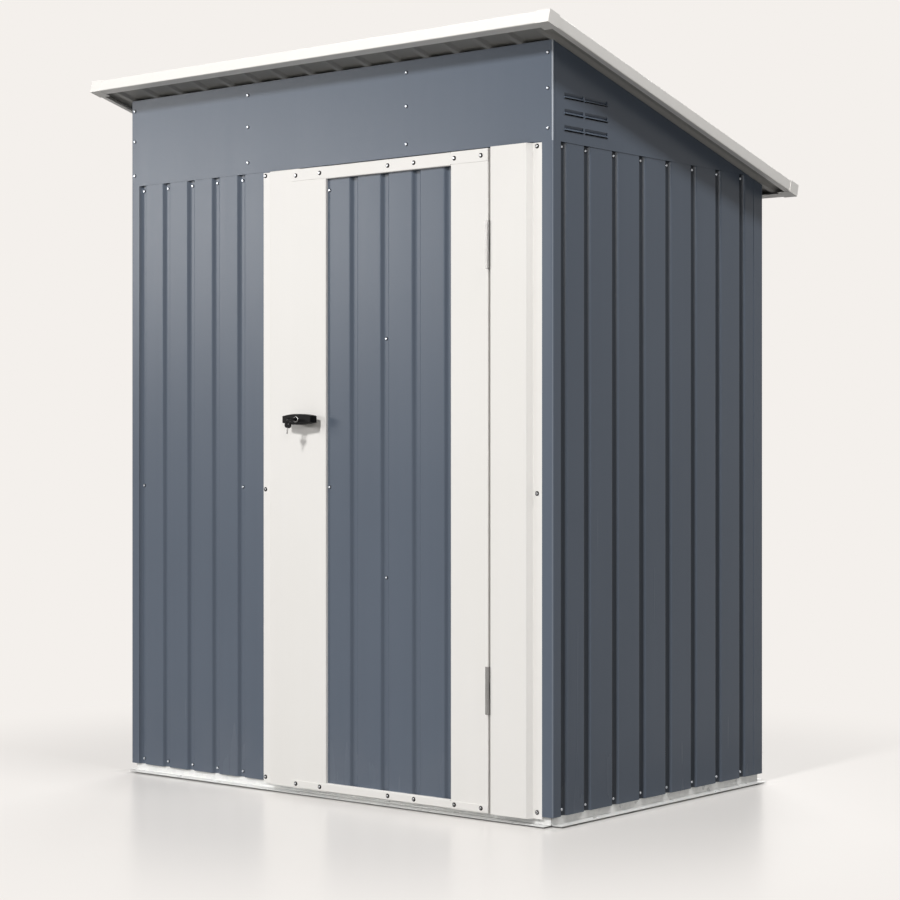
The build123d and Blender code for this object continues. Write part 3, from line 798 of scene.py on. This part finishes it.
bow = bmesh.new()
bmesh.ops.create_grid(bow, x_segments=1, y_segments=1, size=0.5)
bmesh.ops.scale(bow, vec=(bow_width, bow_height, 1), verts=bow.verts)
bmesh.ops.bevel(
    bow, geom=bow.verts[:], offset=bow_corner, offset_type="OFFSET", segments=corner_segments, profile=0.5,
    affect="VERTICES", material=-1, clamp_overlap=True,
)
bmesh.ops.translate(bow, verts=bow.verts, vec=(0, bow_hole_inset - bow_height / 2, 0))
bmesh.ops.delete(bow, geom=bow.faces[:], context="FACES_ONLY")
bmesh.ops.create_circle(bow, cap_ends=False, radius=bow_hole, segments=hole_sides)
bmesh.ops.triangle_fill(bow, use_beauty=True, edges=bow.edges[:])
thick_plate(bow, bow_thick, bow_rim)
bmesh.ops.transform(bow, matrix=key_place, verts=bow.verts)
make_piece("spare_key_bow", bow, "handle", lock_black)
print("key bow", round(bow_width / mm), "mm wide")

# %% [markdown]
# ## Key blade
# The blade is a strip of cells, and its notches are made by pushing in every second point of one edge. Its
# thickness and rims come from the same helper as the bow's.

# %% Key blade
blade_width = 4.4 * mm
blade_length = 16 * mm
blade_thick = 2.0 * mm
blade_rim = 0.3 * mm
blade_notch = 1.1 * mm
blade_cells = 6

blade = bmesh.new()
bmesh.ops.create_grid(blade, x_segments=1, y_segments=blade_cells, size=0.5)
bmesh.ops.scale(blade, vec=(blade_width, blade_length, 1), verts=blade.verts)
bow_foot = bow_hole_inset - bow_height
bmesh.ops.translate(blade, verts=blade.verts, vec=(0, bow_foot - blade_length / 2 + blade_notch, 0))
notched = sorted((vert for vert in blade.verts if vert.co.x > 0), key=lambda vert: vert.co.y)[::2]
bmesh.ops.translate(blade, verts=notched, vec=(-blade_notch, 0, 0))
thick_plate(blade, blade_thick, blade_rim)
bmesh.ops.transform(blade, matrix=key_place, verts=blade.verts)
make_piece("spare_key_blade", blade, "handle", hinge_steel)
print("spare key", round((bow_height + blade_length) / mm), "mm long")

# %% [markdown]
# ## The face of the lock
# The key turns in a dark plug, and only the rim of the lock cylinder round it is bright. The plug is a
# short spun disc with a rounded edge that stands a hair in front of the cylinder.

# %% Lock plug
plug_radius = 6.2 * mm
plug_stand = 0.5 * mm
plug_face = 0.92
cylinder_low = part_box("lock_cylinder")[0]
plug = turned([
    (0, -plug_stand), (plug_radius, -plug_stand), (plug_radius, plug_stand / 2),
    (plug_radius * plug_face, plug_stand), (0, plug_stand),
], closed=False)
bmesh.ops.recalc_face_normals(plug, faces=plug.faces)
plug_place = Matrix.Translation((lock_x, cylinder_low.y, lock_z)) @ upright
bmesh.ops.transform(plug, matrix=plug_place, verts=plug.verts)
make_piece("lock_plug", plug, "handle", lock_black)
print("lock plug", round(2 * plug_radius / mm, 1), "mm across")

# %% [markdown]
# ## The floor
# The floor is pale and a little glossy, and away from the shed it fades into the background. It lies a hair
# under the base rails, so that a thin dark line shows where they stand. What it throws back on the shed is
# greyer than what the eye sees, or the undersides of the roof would be too bright.

# %% Floor
pale = colour(244, 240, 236)
floor_dark = colour(226, 223, 220)
floor_light = colour(232, 229, 226)
bounced = colour(118, 117, 115)
floor_radius = 14.0
floor_sides = 64
floor_gap = 3 * mm
floor_glow = 0.3
glow_reach = 30 * mm
fade_start = 0.9
fade_end = 2.0
base_boxes = [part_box("base_rail_" + side) for side in ("front", "back", "right", "left")]
base_low = Vector(min(low[axis] for low, high in base_boxes) for axis in range(3))
base_high = Vector(max(high[axis] for low, high in base_boxes) for axis in range(3))
base_middle = (base_low + base_high) / 2
base_half = (base_high - base_low) / 2


def pale_floor():
    """A pale satin floor that fades, away from the shed, into the background seen by the camera."""
    finish = Finish("pale_floor", Roughness=0.24, Specular_IOR_Level=0.35)
    place = finish.place()

    def outside(axis, middle, half):
        """How far a point lies outside the base rails along one axis."""
        offset = finish.axis(place, axis) - middle
        return finish.node("ShaderNodeMath", {"operation": "ABSOLUTE"}, {0: offset}) - half

    cloud = finish.noise(place, scale=1.5, detail=3.0)
    seen = finish.mixed(cloud, floor_dark, floor_light)
    finish.feed(Base_Color=finish.mixed(finish.ray("Is Camera Ray"), bounced, seen))
    distance = finish.node("ShaderNodeVectorMath", {"operation": "LENGTH"}, {0: place}, output="Value")
    clear = finish.node("ShaderNodeMath", {"operation": "MAXIMUM"}, {
        0: outside("X", base_middle.x, base_half.x),
        1: outside("Y", base_middle.y, base_half.y),
    })
    near = finish.between(0.0, glow_reach, clear) * floor_glow
    fade = (near + (1 - floor_glow) * finish.between(fade_start, fade_end, distance)) * finish.shown()
    glow = finish.node("ShaderNodeEmission", {}, {"Color": pale, "Strength": 1.0})
    satin = Value(finish, finish.shader.outputs[0])
    surface = finish.node("ShaderNodeMixShader", {}, {0: fade, 1: satin, 2: glow})
    finish.put(finish.output.inputs["Surface"], surface)
    return finish.material


floor_shape = bmesh.new()
bmesh.ops.create_circle(floor_shape, cap_ends=True, radius=floor_radius, segments=floor_sides)
bmesh.ops.translate(floor_shape, verts=floor_shape.verts, vec=(0, 0, -floor_gap))
floor_mesh = bpy.data.meshes.new("floor")
floor_shape.to_mesh(floor_mesh)
floor_shape.free()
floor_mesh.materials.append(pale_floor())
floor = bpy.data.objects.new("floor", floor_mesh)
scene.collection.objects.link(floor)
print("floor radius", floor_radius, "m")

# %% [markdown]
# ## The lamps
# The shed stands in a bright studio. The front lamp, high and almost straight ahead, gives most of the
# light, the shadow of the eaves on the header and the shadow of the handle on the door. A low, wide lamp on
# the left shows as the sheen on the upper front. A weak lamp at the right front picks out the folds of the
# near corner. The right lamp lights the side wall from above, so that the overhang darkens the top of the
# gable. The rear lamp is for the back and the left side, which the photograph doesn't show.

# %% Lamps
shed_middle = Vector((0, -0.1, 0.9))
warm_white = (1.0, 0.99, 0.98)
plain_white = (1.0, 0.995, 0.985)


def lamp(name, azimuth, elevation, distance, width, height, power, tint):
    """A soft rectangular lamp that looks at the shed. Azimuth 0 is in front of the door, 90 on the right."""
    data = bpy.data.lights.new(name, "AREA")
    data.shape = "RECTANGLE"
    data.size = width
    data.size_y = height
    data.energy = power
    data.color = tint
    turn = radians(azimuth)
    lift = radians(elevation)
    away = Vector((sin(turn) * cos(lift), -cos(turn) * cos(lift), sin(lift)))
    holder = bpy.data.objects.new(name, data)
    holder.location = shed_middle + away * distance
    holder.rotation_mode = "QUATERNION"
    holder.rotation_quaternion = away.to_track_quat("Z", "Y")
    scene.collection.objects.link(holder)
    print(name, "at", [round(v, 2) for v in holder.location], "power", power)


lamp(
    "front_lamp", azimuth=7, elevation=31, distance=12.0,
    width=1.3, height=1.3, power=910.0, tint=warm_white,
)
lamp(
    "left_lamp", azimuth=-46, elevation=9, distance=11.0,
    width=4.0, height=1.3, power=285.0, tint=warm_white,
)
lamp(
    "corner_lamp", azimuth=44, elevation=12, distance=11.0,
    width=1.6, height=1.2, power=130.0, tint=warm_white,
)
lamp(
    "right_lamp", azimuth=84, elevation=58, distance=7.0,
    width=1.2, height=1.0, power=265.0, tint=plain_white,
)
lamp(
    "rear_lamp", azimuth=212, elevation=28, distance=8.0,
    width=3.2, height=2.2, power=320.0, tint=plain_white,
)

# %% [markdown]
# ## The background
# The background is plain and pale to the eye, and in what metal reflects, but it adds hardly any light of
# its own. A mix of two backgrounds does this: the eye, and what it sees in metal or glass, gets the pale
# one, and the light on the shed comes from the weak one.

# %% Background
sky_tint = (0.95, 0.97, 1.0)
sky_strength = 0.06

world = bpy.data.worlds.new("studio")
world.use_nodes = True
scene.world = world
studio = Network(world.node_tree)
pale_sky = studio.node("ShaderNodeBackground", {}, {"Color": pale, "Strength": 1.0})
weak_sky = studio.node("ShaderNodeBackground", {}, {"Color": sky_tint, "Strength": sky_strength})
sky = studio.node("ShaderNodeMixShader", {}, {0: studio.shown(), 1: weak_sky, 2: pale_sky})
studio.put(studio.tree.nodes.new("ShaderNodeOutputWorld").inputs["Surface"], sky)
print("background strength", sky_strength, "on the shed")
